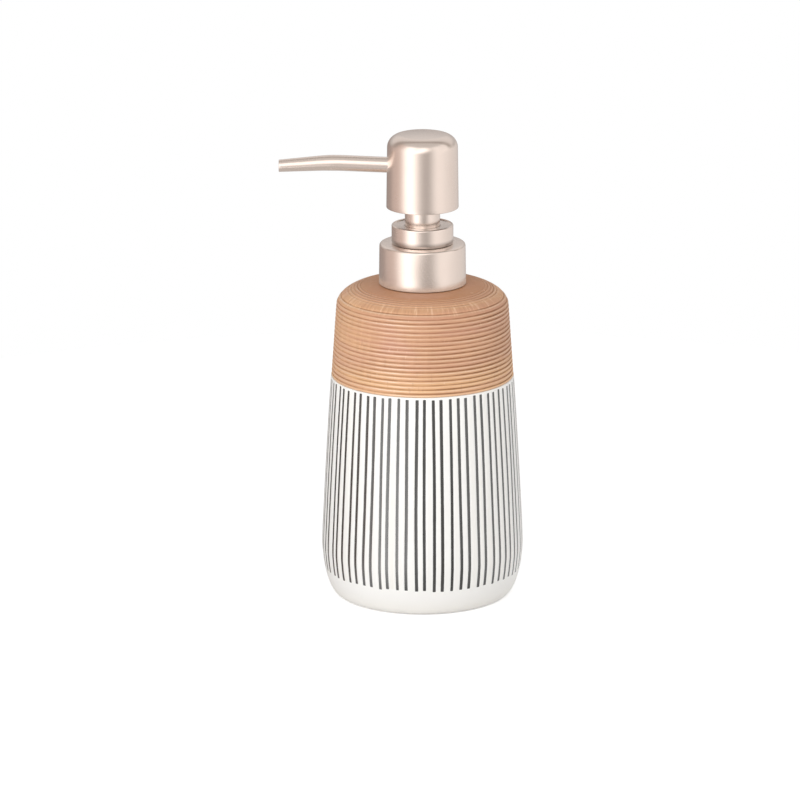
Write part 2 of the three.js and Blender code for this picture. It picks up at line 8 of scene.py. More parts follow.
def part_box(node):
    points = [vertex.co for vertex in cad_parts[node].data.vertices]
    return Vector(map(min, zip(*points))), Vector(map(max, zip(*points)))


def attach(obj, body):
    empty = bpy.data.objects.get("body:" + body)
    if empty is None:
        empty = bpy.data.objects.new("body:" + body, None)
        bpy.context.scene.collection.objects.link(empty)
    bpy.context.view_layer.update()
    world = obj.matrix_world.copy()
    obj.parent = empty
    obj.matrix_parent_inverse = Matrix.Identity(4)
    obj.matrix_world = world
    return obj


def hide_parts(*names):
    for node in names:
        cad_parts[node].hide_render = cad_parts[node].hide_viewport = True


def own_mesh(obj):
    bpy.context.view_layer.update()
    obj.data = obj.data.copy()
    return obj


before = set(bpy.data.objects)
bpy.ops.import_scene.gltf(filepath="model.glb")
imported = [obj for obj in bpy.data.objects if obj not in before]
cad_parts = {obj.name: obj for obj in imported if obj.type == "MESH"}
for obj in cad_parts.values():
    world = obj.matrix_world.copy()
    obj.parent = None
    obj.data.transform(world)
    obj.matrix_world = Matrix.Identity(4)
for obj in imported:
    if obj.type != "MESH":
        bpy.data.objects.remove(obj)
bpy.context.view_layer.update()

mm = 0.001
tau = 2 * pi
onAxis = 1e-4  # a radius below this many millimetres is a point on the axis
scene = bpy.context.scene
draws = np.random.default_rng(7)


def nodeBox(node):
    # lowest and highest corner of a CAD node, in millimetres
    low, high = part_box(node)
    return Vector(low) / mm, Vector(high) / mm


def cadOutline(node):
    # a turned node's own outline, which lies at x = 0 on its -Y side, as (r, z) points in order
    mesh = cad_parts[node].data
    inPlane = {v.index: (abs(round(v.co.y / mm, 3)), round(v.co.z / mm, 3))
               for v in mesh.vertices if abs(v.co.x) < 2e-6 and v.co.y < 1e-6}
    nextTo = {}
    for edge in mesh.edges:
        a, b = (inPlane.get(i) for i in edge.vertices)
        if a and b and a != b:
            nextTo.setdefault(a, []).append(b)
            nextTo.setdefault(b, []).append(a)
    # starts from an end on the axis, else from the lowest point
    here = min(nextTo, key=lambda p: (len(set(nextTo[p])), p[1], p[0]))
    outline = [here]
    while True:
        ahead = [p for p in nextTo[here] if p not in outline]
        if not ahead:
            break
        here = max(ahead, key=lambda p: p[0] - p[1] if len(outline) == 1 else 0)
        outline.append(here)
    area = sum(a[0] * b[1] - b[0] * a[1] for a, b in zip(outline, outline[1:] + outline[:1]))
    return outline if area > 0 else outline[::-1]


def bend(start, corner, end, t):
    # a point on the soft curve from start to end that the corner pulls on
    return start * (1 - t) ** 2 + corner * 2 * t * (1 - t) + end * t * t


def eased(outline, radius, isLoop=True, steps=3, fromAngle=20):
    # rounds each corner of an outline that turns by more than fromAngle
    done = []
    for i, point in enumerate(outline):
        here = Vector(point)
        back = Vector(outline[i - 1]) - here
        ahead = Vector(outline[(i + 1) % len(outline)]) - here
        isEnd = not isLoop and i in (0, len(outline) - 1)
        if isEnd or degrees((-back).angle(ahead)) < fromAngle:
            done.append(tuple(here))
            continue
        reach = min(radius, back.length * 0.45, ahead.length * 0.45)
        start, end = here + back.normalized() * reach, here + ahead.normalized() * reach
        done += [tuple(bend(start, here, end, k / steps)) for k in range(steps + 1)]
    return done


def splined(points, spacing):
    # a smooth curve through the points, sampled about every spacing
    pts = [Vector(p) for p in points]
    pts = [pts[0] * 2 - pts[1]] + pts + [pts[-1] * 2 - pts[-2]]
    done = []
    for p0, p1, p2, p3 in zip(pts, pts[1:], pts[2:], pts[3:]):
        steps = max(1, round((p2 - p1).length / spacing))
        for k in range(steps):
            t = k / steps
            done.append(tuple(0.5 * (
                2 * p1 + (p2 - p0) * t + (2 * p0 - 5 * p1 + 4 * p2 - p3) * t ** 2
                + (3 * p1 - p0 - 3 * p2 + p3) * t ** 3)))
    return done + [tuple(pts[-2])]


def filled(outline, spacing):
    # adds points along the long stretches of a closed outline
    done = []
    for a, b in zip(outline, outline[1:] + outline[:1]):
        steps = max(1, round(dist(a, b) / spacing))
        done += [(a[0] + (b[0] - a[0]) * k / steps, a[1] + (b[1] - a[1]) * k / steps) for k in range(steps)]
    return done


def arc(centreR, centreZ, radiusR, radiusZ, start, end, steps):
    angles = np.radians(np.linspace(start, end, steps + 1))
    return [(centreR + radiusR * cos(a), centreZ + radiusZ * sin(a)) for a in angles]


def placed(name, data):
    made = bpy.data.objects.new(name, data)
    scene.collection.objects.link(made)
    return made


def skinned(name, rings, isLoop=True, smoothAngle=35):
    # joins rings of points (mm) into one skin; a ring of a single point is a pole on the axis
    starts, points, faces = [], [], []
    for ring in rings:
        starts.append(len(points))
        points.extend(ring)
    spans = len(rings) if isLoop else len(rings) - 1
    for i in range(spans):
        n = (i + 1) % len(rings)
        a, b, inA, inB = starts[i], starts[n], len(rings[i]), len(rings[n])
        count = max(inA, inB)
        for j in range(count):
            k = (j + 1) % count
            if inA == 1:
                faces.append((a, b + k, b + j))
            elif inB == 1:
                faces.append((a + j, a + k, b))
            else:
                faces.append((a + j, a + k, b + k, b + j))
    mesh = bpy.data.meshes.new(name)
    mesh.from_pydata(np.array(points) * mm, [], faces)
    mesh.shade_smooth()
    mesh.set_sharp_from_angle(angle=radians(smoothAngle))
    return placed(name, mesh)


def evenTurns(columns):
    return np.linspace(0, tau, columns, endpoint=False)


def onRound(r, turn, z):
    return r * cos(turn), r * sin(turn), z


def levelRing(r, z, turns):
    return [(0, 0, z)] if r < onAxis else [onRound(r, a, z) for a in turns]


def turnedRings(outline, columns):
    return [levelRing(r, z, evenTurns(columns)) for r, z in outline]


def turned(name, outline, columns):
    # an outline that starts off the axis is a closed one
    return skinned(name, turnedRings(outline, columns), isLoop=outline[0][0] > onAxis)


def keepValues(piece, name, values):
    # stores one number per point on the mesh, for the material to read
    layer = piece.data.attributes.new(name, "FLOAT", "POINT")
    layer.data.foreach_set("value", np.asarray(values, dtype=np.float32))


def settle(piece, body, slotName, *nodes):
    # gives a finished piece the material of its slot and its body, and hides the CAD nodes it stands for
    piece.data.materials.append(finishes[slotName])
    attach(piece, body)
    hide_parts(*nodes)
    return piece


# Camera: long lens, slightly above the shoulder
view = {"distance": 2.0, "height": 0.626, "aimHeight": 0.0875, "lens": 251.3, "shift": (-0.0281, -0.0454)}
cameraData = bpy.data.cameras.new("camera")
camera = placed("camera", cameraData)
scene.camera = camera
camera.location = (0, -view["distance"], view["height"])
aim = Vector((0, 0, view["aimHeight"])) - camera.location
camera.rotation_euler = aim.to_track_quat("-Z", "Y").to_euler()
cameraData.lens = view["lens"]
cameraData.sensor_width = 36
cameraData.shift_x, cameraData.shift_y = view["shift"]
cameraData.clip_end = 20
scene.view_settings.view_transform = "Standard"


# Node helpers; those that aren't given a tree work in the tree of the sockets that they get
def feed(socket, value):
    if isinstance(value, bpy.types.NodeSocket):
        socket.id_data.links.new(value, socket)
    else:
        socket.default_value = value


def treeOf(*values):
    return next(value.id_data for value in values if isinstance(value, bpy.types.NodeSocket))


def node(tree, kind, inputs=None, **settings):
    made = tree.nodes.new("ShaderNode" + kind)
    for key, value in settings.items():
        setattr(made, key, value)
    for key, value in (inputs or {}).items():
        feed(made.inputs[key], value)
    return made


def calc(operation, *values):
    made = node(treeOf(*values), "Math", operation=operation)
    for socket, value in zip(made.inputs, values):
        feed(socket, value)
    return made.outputs[0]


def times(a, b):
    return calc("MULTIPLY", a, b)


def minus(a, b):
    return calc("SUBTRACT", a, b)


def summed(*terms):
    # adds the terms up; one in brackets is a value and its share
    values = [times(*term) if isinstance(term, tuple) else term for term in terms]
    total = values[0]
    for value in values[1:]:
        total = calc("ADD", total, value)
    return total


def radiusAt(x, y):
    return calc("SQRT", summed((x, x), (y, y)))


def remap(value, fromLow, fromHigh, toLow=0, toHigh=1, kind="SMOOTHSTEP"):
    made = node(value.id_data, "MapRange", {
        "Value": value, "From Min": fromLow, "From Max": fromHigh, "To Min": toLow, "To Max": toHigh
    }, interpolation_type=kind)
    return made.outputs["Result"]


def blend(factor, a, b, kind="MIX"):
    made = node(treeOf(factor, a, b), "Mix", data_type="RGBA", blend_type=kind)
    for socket, value in ((made.inputs[0], factor), (made.inputs[6], a), (made.inputs[7], b)):
        feed(socket, (*value, 1) if isinstance(value, tuple) and len(value) == 3 else value)
    return made.outputs[2]


def layered(base, colours, layers):
    # lays colours over the base one after another; each layer is a mask and a colour's name
    for mask, colour in layers:
        base = blend(mask, base, colours[colour])
    return base


def splitUp(vector):
    return node(vector.id_data, "SeparateXYZ", {0: vector}).outputs


def objectPoint(tree, stretch=(1, 1, 1)):
    place = node(tree, "TexCoord").outputs["Object"]
    if stretch == (1, 1, 1):
        return place
    return node(tree, "Mapping", {"Vector": place, "Scale": stretch}).outputs[0]


def noiseAt(point, scale, detail=2, roughness=0.5, distortion=0):
    made = node(point.id_data, "TexNoise", {
        "Vector": point, "Scale": scale, "Detail": detail, "Roughness": roughness, "Distortion": distortion})
    return made.outputs["Fac"]


def stored(tree, name):
    return node(tree, "Attribute", attribute_name=name).outputs["Fac"]


def rayIs(tree, kind):
    return node(tree, "LightPath").outputs["Is " + kind + " Ray"]


def newGroup(name, inputs, outputs):
    # a shader node group with named number sockets; inputs holds each one's usual value
    group = bpy.data.node_groups.new(name, "ShaderNodeTree")
    for key, value in inputs.items():
        group.interface.new_socket(key, in_out="INPUT", socket_type="NodeSocketFloat").default_value = value
    for key in outputs:
        group.interface.new_socket(key, in_out="OUTPUT", socket_type="NodeSocketFloat")
    return group, group.nodes.new("NodeGroupInput").outputs, group.nodes.new("NodeGroupOutput").inputs


def useGroup(tree, group, **values):
    made = node(tree, "Group", node_tree=group)
    for key, value in values.items():
        feed(made.inputs[key], value)
    return made.outputs


def newMaterial(name, settings):
    material = bpy.data.materials.new(name)
    material.use_nodes = True
    shader = material.node_tree.nodes["Principled BSDF"]
    for key, value in settings.items():
        shader.inputs[key].default_value = value
    return material, material.node_tree, shader.inputs


def addBump(shaderIn, height, distance, strength):
    bump = node(height.id_data, "Bump", {"Height": height, "Distance": distance, "Strength": strength})
    feed(shaderIn["Normal"], bump.outputs[0])


# Effects that several materials share
def fineGrainGroup():
    # small mottled grain: Scale per metre, Stretch lengthens it along Z
    group, given, out = newGroup("fineGrain", {"Scale": 900, "Stretch": 1}, ["Tone", "Height"])
    parts = splitUp(objectPoint(group))
    height = calc("DIVIDE", parts["Z"], given["Stretch"])
    point = node(group, "CombineXYZ", {"X": parts["X"], "Y": parts["Y"], "Z": height}).outputs[0]
    coarse = noiseAt(point, given["Scale"], 3.0, 0.6)
    fine = noiseAt(point, times(given["Scale"], 3.7), 2, 0.5)
    feed(out["Tone"], remap(coarse, 0.3, 0.7))
    feed(out["Height"], summed((coarse, 0.7), (fine, 0.3)))
    return group


def edgeWearGroup():
    # Mask is high on convex edges, broken up by a little noise
    group, given, out = newGroup("edgeWear", {"Sharpness": 0.04, "Breakup": 0.5}, ["Mask"])
    point = node(group, "NewGeometry").outputs["Pointiness"]
    edge = remap(point, 0.505, summed(0.5, given["Sharpness"]))
    patch = remap(noiseAt(objectPoint(group), 350, 3.0), 0.35, 0.6)
    kept = minus(1, times(given["Breakup"], patch))
    feed(out["Mask"], times(edge, kept))
    return group


def handlingGroup():
    # faint smudges everywhere and a trace of dust on what faces up
    group, given, out = newGroup("handling", {"Scale": 60, "Dust": 0.3}, ["Smudge", "Dust"])
    smudge = remap(noiseAt(objectPoint(group), given["Scale"], 4.0, 0.62, 0.6), 0.38, 0.68)
    up = splitUp(node(group, "NewGeometry").outputs["Normal"])["Z"]
    specks = remap(noiseAt(objectPoint(group), 1400, 1), 0.5, 0.75)
    feed(out["Smudge"], smudge)
    feed(out["Dust"], times(remap(up, 0.55, 1), times(specks, given["Dust"])))
    return group


def turningLinesGroup():
    # fine lines round the axis, left by a lathe or a polishing wheel: Pitch in metres
    group, given, out = newGroup("turningLines", {"Pitch": 0.0003}, ["Tone", "Height"])
    parts = splitUp(objectPoint(group))
    radius = radiusAt(parts["X"], parts["Y"])
    along = calc("DIVIDE", summed(parts["Z"], radius), given["Pitch"])
    lines = node(group, "TexNoise", {"W": along, "Scale": 1, "Detail": 2}, noise_dimensions="1D")
    feed(out["Tone"], remap(lines.outputs["Fac"], 0.35, 0.65))
    feed(out["Height"], lines.outputs["Fac"])
    return group


fineGrain, edgeWear = fineGrainGroup(), edgeWearGroup()
handling, turningLines = handlingGroup(), turningLinesGroup()
print("node groups ready")

# Glazed ceramic with inlaid stripes: inkEdge and raggedness in millimetres, heights in metres from none to
# full, and for creamHeights two strengths
glaze = {
    "white": (0.92, 0.902, 0.874), "cream": (0.89, 0.855, 0.795), "bisque": (0.62, 0.56, 0.47),
    "ink": (0.009, 0.008, 0.007), "paleInk": (0.03, 0.027, 0.024),
    "inkEdge": 0.045, "raggedness": 0.12, "roughness": 0.42, "inkRoughness": 0.34,
    "creamHeights": (0.009, 0.001, 0, 0.55), "bareHeights": (0.0004, 0.0001)}


def glazedCeramic():
    material, tree, shaderIn = newMaterial("glazedCeramic", {
        "IOR": 1.5, "Specular IOR Level": 0.35, "Coat IOR": 1.85, "Coat Roughness": 0.22})
    grain = useGroup(tree, fineGrain, Scale=500)
    marks = useGroup(tree, handling, Scale=45, Dust=0.15)
    height = splitUp(objectPoint(tree))["Z"]
    ragged = times(minus(grain["Height"], 0.5), glaze["raggedness"])
    inkMask = remap(summed(stored(tree, "inkDistance"), ragged), glaze["inkEdge"], -glaze["inkEdge"])
    drift = noiseAt(objectPoint(tree, (1, 1, 0.25)), 240, 3.0)
    thickness = summed((stored(tree, "stripeShade"), 0.65), (drift, 0.5))
    ink = blend(thickness, glaze["ink"], glaze["paleInk"])
    # towards the foot the white turns creamier and a little darker, and the ring that it stands on is bare
    wash = calc("MAXIMUM", stored(tree, "wash"), remap(height, *glaze["creamHeights"]))
    wash = summed(wash, (marks["Smudge"], 0.02))
    bare = remap(height, *glaze["bareHeights"])
    base = blend(wash, glaze["white"], glaze["cream"])
    base = blend(inkMask, base, ink)
    feed(shaderIn["Base Color"], blend(bare, base, glaze["bisque"]))
    feed(shaderIn["Coat Weight"], inkMask)
    rough = remap(inkMask, 0, 1, glaze["roughness"], glaze["inkRoughness"])
    feed(shaderIn["Roughness"], summed(rough, (grain["Tone"], 0.03), (bare, 0.5)))
    ripples = summed(noiseAt(objectPoint(tree), 130, 2), (grain["Height"], 0.12))
    addBump(shaderIn, ripples, distance=0.00005, strength=0.35)
    return material


# Turned wood; a zone is the axis that it lies along, where it begins and is full in metres, and its strengths
timber = {
    "light": (0.71, 0.397, 0.228), "dark": (0.53, 0.27, 0.154), "red": (0.60, 0.305, 0.202),
    "golden": (0.82, 0.49, 0.24), "groove": (0.25, 0.105, 0.04), "fleck": (0.93, 0.66, 0.44),
    "paintedTopShade": (0.49, 0.22, 0.092), "paintedWoodReflection": (0.80, 0.70, 0.62), "roughness": 0.52,
    "pithOffset": (0.085, -0.06), "ringSpacing": 0.0042, "ringWobble": 0.012,
    "zones": {
        "right": ("X", -0.022, 0.024, 0, 0.72), "left": ("X", -0.012, -0.034, 0, 0.45),
        "upper": ("Z", 0.100, 0.113, 0, 0.5), "low": ("Z", 0.099, 0.084, 0, 0.75),
        "bandFoot": ("Z", 0.1126, 0.1140), "bandHead": ("Z", 0.1168, 0.1156), "top": ("Z", 0.1162, 0.1178),
        "grooves": ("X", -0.001, 0.014, 0.54, 0.80), "shine": ("X", -0.010, 0.006, 1, 0.5)}}


def turnedWood():
    material, tree, shaderIn = newMaterial("turnedWood", {
        "IOR": 1.46, "Coat Roughness": 0.22, "Coat IOR": 2.4})
    grain = useGroup(tree, fineGrain, Scale=700, Stretch=14)
    lines = useGroup(tree, turningLines, Pitch=0.00022)
    marks = useGroup(tree, handling, Scale=38, Dust=0.1)
    wear = useGroup(tree, edgeWear, Sharpness=0.05, Breakup=0.6)
    parts = splitUp(objectPoint(tree))
    x, y = parts["X"], parts["Y"]
    at = {name: remap(parts[axis], *limits) for name, (axis, *limits) in timber["zones"].items()}
    # growth rings round the tree's own axis, well outside the piece
    pithX, pithY = timber["pithOffset"]
    wobble = times(noiseAt(objectPoint(tree, (1, 1, 0.2)), 60, 3.0), timber["ringWobble"])
    rings = summed(radiusAt(summed(x, pithX), summed(y, pithY)), wobble)
    rings = calc("FRACT", calc("DIVIDE", rings, timber["ringSpacing"]))
    rings = remap(calc("ABSOLUTE", minus(rings, 0.5)), 0.05, 0.5)
    figure = summed((rings, 0.28), (grain["Tone"], 0.3), (marks["Smudge"], 0.42))
    patches = remap(noiseAt(objectPoint(tree, (1, 1, 1.6)), 42, 2, 0.5, 0.5), 0.42, 0.62)
    # the plain band round the shoulder is cut across the grain, and shows it as short upright dashes
    band, fromAxis = times(at["bandFoot"], at["bandHead"]), radiusAt(x, y)
    roundAxis = node(tree, "CombineXYZ", {
        "X": calc("DIVIDE", x, fromAxis), "Y": calc("DIVIDE", y, fromAxis), "Z": times(parts["Z"], 7)})
    dashes = noiseAt(roundAxis.outputs[0], 30, 2, 0.6)
    # pores, pale rays and the faint tone of single ribs
    pores = remap(noiseAt(objectPoint(tree, (1, 1, 0.14)), 1300, 1), 0.64, 0.74)
    rays = remap(noiseAt(objectPoint(tree, (1, 1, 0.5)), 700, 2, 0.5, 0.4), 0.67, 0.77)
    ridges = noiseAt(objectPoint(tree, (0.06, 0.06, 1)), 420, 1)
    # the crests get a painted highlight with a little real edge wear, and the grooves hold dark oil and
    # painted shade, heavier on the right
    crest = stored(tree, "crest")
    pale = calc("MAXIMUM", times(wear["Mask"], 0.2), times(crest, 0.55))
    sunk = remap(stored(tree, "groove"), 0.22, 1)
    # painted shade: darker towards the top and most on the flat top, which also shows fewer rays; besides,
    # darker on the right and more golden low down and on the left
    base = layered(blend(figure, timber["light"], timber["dark"]), timber, [
        (times(patches, 0.85), "red"), (at["right"], "dark"), (at["upper"], "dark"),
        (calc("MAXIMUM", at["low"], at["left"]), "golden"), (times(at["top"], 0.5), "paintedTopShade"),
        (times(band, 0.3), "golden"), (times(band, remap(dashes, 0.54, 0.68, 0, 0.5)), "fleck"),
        (times(band, remap(dashes, 0.47, 0.34, 0, 0.6)), "dark"),
        (times(rays, remap(at["top"], 0, 1, 0.4, 0.05)), "fleck"), (times(pores, 0.5), "dark"),
        (remap(ridges, 0.5, 0.66, 0, 0.4), "red"), (remap(ridges, 0.5, 0.36, 0, 0.3), "light"),
        (pale, "fleck"), (times(sunk, at["grooves"]), "groove")])
    # painted reflection: glossy rays see the wood much paler than it is, so the plating mirrors it pale
    paintedWoodReflection = times(rayIs(tree, "Glossy"), 0.8)
    feed(shaderIn["Base Color"], blend(paintedWoodReflection, base, timber["paintedWoodReflection"]))
    # the oil has a shine on the crests, less so on the right
    feed(shaderIn["Coat Weight"], times(at["shine"], remap(crest, 0, 1, 0.08, 1)))
    feed(shaderIn["Roughness"], summed(timber["roughness"], (grain["Tone"], 0.1), (sunk, 0.2)))
    relief = minus(summed(grain["Height"], (lines["Height"], 0.5)), times(pores, 0.8))
    addBump(shaderIn, relief, distance=0.00006, strength=0.5)
    return material


# Satin champagne-pink plated metal
plating = {
    "metal": (0.865, 0.73, 0.648), "warm": (0.845, 0.695, 0.61), "between": (0.92, 0.85, 0.80),
    "edge": (0.93, 0.83, 0.76), "dust": (0.8, 0.77, 0.72), "paintedShade": (0.43, 0.36, 0.32), "roughness": 0.21}


def roseMetal():
    material, tree, shaderIn = newMaterial("roseMetal", {"Metallic": 1})
    lines = useGroup(tree, turningLines, Pitch=0.00009)
    grain = useGroup(tree, fineGrain, Scale=4200)
    marks = useGroup(tree, handling, Scale=55, Dust=0.12)
    wear = useGroup(tree, edgeWear, Sharpness=0.06, Breakup=0.5)
    tone = times(summed(marks["Smudge"], grain["Tone"]), 0.3)
    # the last layer paints shade where a piece stores it, at the ring cap's foot and recess
    base = layered(blend(tone, plating["metal"], plating["warm"]), plating, [
        (times(wear["Mask"], 0.3), "edge"), (marks["Dust"], "dust"),
        (remap(stored(tree, "paintedShadeMask"), 0, 1, 0, 0.9), "paintedShade")])
    # painted reflection: glossy rays see the plating paler than it is, so where it mirrors itself it stays
    # pale
    paintedReflectionMask = times(rayIs(tree, "Glossy"), 0.8)
    feed(shaderIn["Base Color"], blend(paintedReflectionMask, base, plating["between"]))
    rough = summed(plating["roughness"], (marks["Smudge"], 0.05), (lines["Tone"], 0.03), (marks["Dust"], 0.3))
    feed(shaderIn["Roughness"], rough)
    relief = summed(lines["Height"], (grain["Height"], 0.6))
    addBump(shaderIn, relief, distance=0.000003, strength=0.4)
    return material


# Plain finishes by slot: moulded plastics, the seals and the spring's steel
mouldings = {
    "white_plastic": {
        "settings": {"IOR": 1.49, "Subsurface Weight": 0.15, "Subsurface Scale": 0.0008},
        "colour": (0.83, 0.83, 0.81), "shade": (0.76, 0.76, 0.74), "edge": (0.9, 0.9, 0.89),
        "grainScale": 1800, "mottle": 0.4, "roughness": 0.36, "relief": 0.35},
    "clear_plastic": {
        "settings": {"IOR": 1.49, "Transmission Weight": 0.9},
        "colour": (0.90, 0.93, 0.93), "shade": (0.84, 0.88, 0.88), "edge": (0.95, 0.97, 0.97),
        "grainScale": 1200, "mottle": 0.5, "roughness": 0.1, "relief": 0.15},
    "soft_seal": {
        "settings": {"IOR": 1.5},
        "colour": (0.60, 0.61, 0.59), "shade": (0.52, 0.53, 0.51), "edge": (0.68, 0.69, 0.67),
        "grainScale": 1500, "mottle": 0.6, "roughness": 0.62, "relief": 0.7},
    "spring_steel": {
        "settings": {"Metallic": 1},
        "colour": (0.56, 0.57, 0.58), "shade": (0.47, 0.48, 0.49), "edge": (0.72, 0.73, 0.74),
        "grainScale": 2600, "mottle": 0.5, "roughness": 0.18, "relief": 0.2}}
insideDust = (0.7, 0.68, 0.64)


def moulded(slotName, look):
    # fine skin texture, slightly polished edges
    first, second = slotName.split("_")
    material, tree, shaderIn = newMaterial(first + second.capitalize(), look["settings"])
    grain = useGroup(tree, fineGrain, Scale=look["grainScale"])
    marks = useGroup(tree, handling, Scale=70, Dust=0.02)
    wear = useGroup(tree, edgeWear, Sharpness=0.06, Breakup=0.4)
    base = layered(look["colour"], {**look, "dust": insideDust}, [
        (times(marks["Smudge"], look["mottle"]), "shade"), (times(wear["Mask"], 0.4), "edge"),
        (marks["Dust"], "dust")])
    feed(shaderIn["Base Color"], base)
    feed(shaderIn["Roughness"], summed(look["roughness"], (grain["Tone"], 0.08), (marks["Smudge"], 0.06)))
    addBump(shaderIn, grain["Height"], distance=0.00002, strength=look["relief"])
    return material


finishes = {"glazed_ceramic": glazedCeramic(), "turned_wood": turnedWood(), "rose_metal": roseMetal()}
finishes.update((slotName, moulded(slotName, look)) for slotName, look in mouldings.items())
print("materials ready")

# Ceramic bottle; columns stand at edgeColumns outside (+) or inside (-) each stripe's edge, and the washes of
# cream between the stripes have a mean and a spread
bottle = {
    "stripes": 67, "stripeWidth": 1.16, "widthSpread": 0.04, "placeSpread": 0.75, "endSpread": 0.3,
    "swell": 0.06, "swellLength": 9, "wave": 0.26, "waveLength": 42, "corner": 0.22, "foot": 10.4,
    "head": 82.9, "washes": (0.12, 0.22), "mostWash": 0.6, "rowStep": 1.15, "endStep": 0.16,
    "columnsPerStripe": 9, "edgeColumns": (0.08, -0.03, -0.16), "inlayDepth": 0.07, "inlayEdge": 0.06,
    "inlaySlope": 0.14, "footRecess": 0.7, "footRing": 27.5, "lip": 0.35, "handmade": 0.03}


def bottleOutline():
    # base recess and foot, smooth belly and side, rounded rim at the seam, then the CAD's own hidden walls
    cad = cadOutline("ceramic_bottle")
    seamHeight = nodeBox("wood_sleeve")[0].z
    seam = max(i for i, (r, z) in enumerate(cad) if abs(z - seamHeight) < 0.2 and r > 33)
    side = splined(cad[1:seam + 1], 0.7)
    recess, ringR = bottle["footRecess"], bottle["footRing"]
    base = [(0, recess), (ringR - 6, recess), (ringR - 0.6, recess), (ringR, 0.15), (ringR + 0.5, 0)]
    foot, head = bottle["foot"], bottle["head"]
    corner = [p for p in side if p[1] < foot - 0.6]
    rMean, zMean = np.array(side).T
    # rows stand close together where stripes end
    heights = np.concatenate([
        np.arange(foot - 0.5, foot + 1.6, bottle["endStep"]),
        np.arange(foot + 1.9, head - 1.5, bottle["rowStep"]),
        np.arange(head - 1.4, head + 0.36, bottle["endStep"])])
    wall = [(float(np.interp(z, zMean, rMean)), float(z)) for z in heights]
    seamR, seamZ = cad[seam]
    lip = bottle["lip"]
    rim = arc(seamR - lip, seamZ - lip, lip, lip, 0, 90, 4)
    inside = eased(cad[seam + 1:], 0.8, isLoop=False, steps=2)
    return base, corner + wall, rim, inside


def ceramicBottle():
    base, side, rim, inside = bottleOutline()
    stripes = bottle["stripes"]

    def scatter(spread):
        return draws.uniform(-1, 1, stripes) * bottle[spread]

    centres = (np.arange(stripes) + 0.5) * (tau / stripes) + np.radians(scatter("placeSpread"))
    halfWidths = bottle["stripeWidth"] / 2 + scatter("widthSpread")
    feet, heads = bottle["foot"] + scatter("endSpread"), bottle["head"] + scatter("endSpread")
    shades = draws.uniform(0, 1, stripes)
    washes = np.clip(draws.normal(*bottle["washes"], stripes), 0, bottle["mostWash"])
    rings, kept = [], {"inkDistance": [], "stripeShade": [], "wash": []}
    plain = 1.0, 0.5, 0.0  # far from the ink, with a middling shade and no wash

    def addRow(ring, *rows):
        rings.append(ring)
        for values, row in zip(kept.values(), rows):
            values.extend(np.broadcast_to(row, len(ring)))

    def stripedRow(r, z):
        # columns follow the stripes: seven on and beside each one, the rest across the plain gap
        shifts = [noise.noise(Vector((k * 3.7, z / bottle["waveLength"], 0.3))) for k in range(stripes)]
        middle = centres + np.array(shifts) * bottle["wave"] / r
        turns, distances, tones, washRow = [], [], [], []
        for k in range(stripes):
            after = (k + 1) % stripes
            swollen = noise.noise(Vector((k * 5.1, z / bottle["swellLength"], 2.0)))
            half = halfWidths[k] * (1 + bottle["swell"] * swollen)
            ahead = middle[after] + (tau if k == stripes - 1 else 0)
            reach, clear = half + np.array(bottle["edgeColumns"]), bottle["edgeColumns"][0]
            offsets = np.concatenate([-reach, [0], reach[::-1]])
            here = middle[k] + offsets / r
            gap = np.linspace(
                middle[k] + (half + clear) / r, ahead - (halfWidths[after] + clear) / r,
                bottle["columnsPerStripe"] - len(offsets) + 2)[1:-1]
            across = np.concatenate([np.abs(offsets), np.minimum(gap - middle[k], ahead - gap) * r])
            low, high = feet[k] + bottle["corner"], heads[k] - bottle["corner"]
            beside, beyond = across - half + bottle["corner"], max(low - z, z - high)
            outer = np.hypot(np.maximum(beside, 0), max(beyond, 0))
            distances.extend(outer + np.minimum(np.maximum(beside, beyond), 0) - bottle["corner"])
            turns.extend(np.concatenate([here, gap]))
            tones.extend([shades[k]] * len(across))
            washRow.extend([0.0] * len(offsets) + [washes[k] if low < z < high else 0.0] * len(gap))
        return np.array(turns), np.clip(distances, -1, 1), tones, washRow

    widest = nodeBox("ceramic_bottle")[1].x
    middleTurns = stripedRow(*side[len(side) // 2])[0]
    for r, z in base:
        addRow(levelRing(r, z, middleTurns), *plain)
    for r, z in side:
        turns, distances, tones, washRow = stripedRow(r, z)
        sunk = np.clip((bottle["inlayEdge"] - distances) / bottle["inlaySlope"], 0, 1)
        sunk = sunk * sunk * (3 - 2 * sunk) * bottle["inlayDepth"]
        uneven = [noise.noise(Vector((cos(a) * 2.2, sin(a) * 2.2, z / 22))) for a in turns]
        radii = np.minimum(r - sunk - (0.5 + 0.5 * np.array(uneven)) * bottle["handmade"], widest)
        addRow([onRound(q, a, z) for q, a in zip(radii, turns)], distances, tones, washRow)
    for r, z in rim + inside:
        addRow(levelRing(r, z, middleTurns), *plain)
    piece = skinned("ceramicBottle", rings, isLoop=False, smoothAngle=50)
    for name, values in kept.items():
        keepValues(piece, name, values)
    return piece


settle(ceramicBottle(), "bottle", "glazed_ceramic", "ceramic_bottle")
print("ceramic bottle built")

# Wooden sleeve, with deep grooves round its side and fine ones on its shoulder; each kind has its pitch,
# depth and half width
sleeve = {
    "columns": 288, "fineStep": 0.14, "plainStep": 0.6, "shoulderRise": 8.2, "headRadius": 31.9,
    "flatRadius": 16.15, "deep": (1.62, 0.32, 0.56), "deepDrop": 4.5, "fine": (1.15, 0.24, 0.4),
    "fineFrom": 22.9, "fineCount": 5, "fineCrest": 0.5, "fineBead": 0.3, "bead": 0.1, "crestOffset": 0.62,
    "crestHalfWidth": 0.34, "rubbed": 0.6, "rubbedAt": 214, "rubbedReach": 38, "rubbedDrop": 14,
    "rubbedTall": 8, "wander": 0.1, "uneven": (0.8, 1.15), "biteLimits": (0.3, 1.3), "footEdge": 0.25}


def nearTo(values, middle, reach):
    return np.exp(-((values - middle) / reach) ** 2)


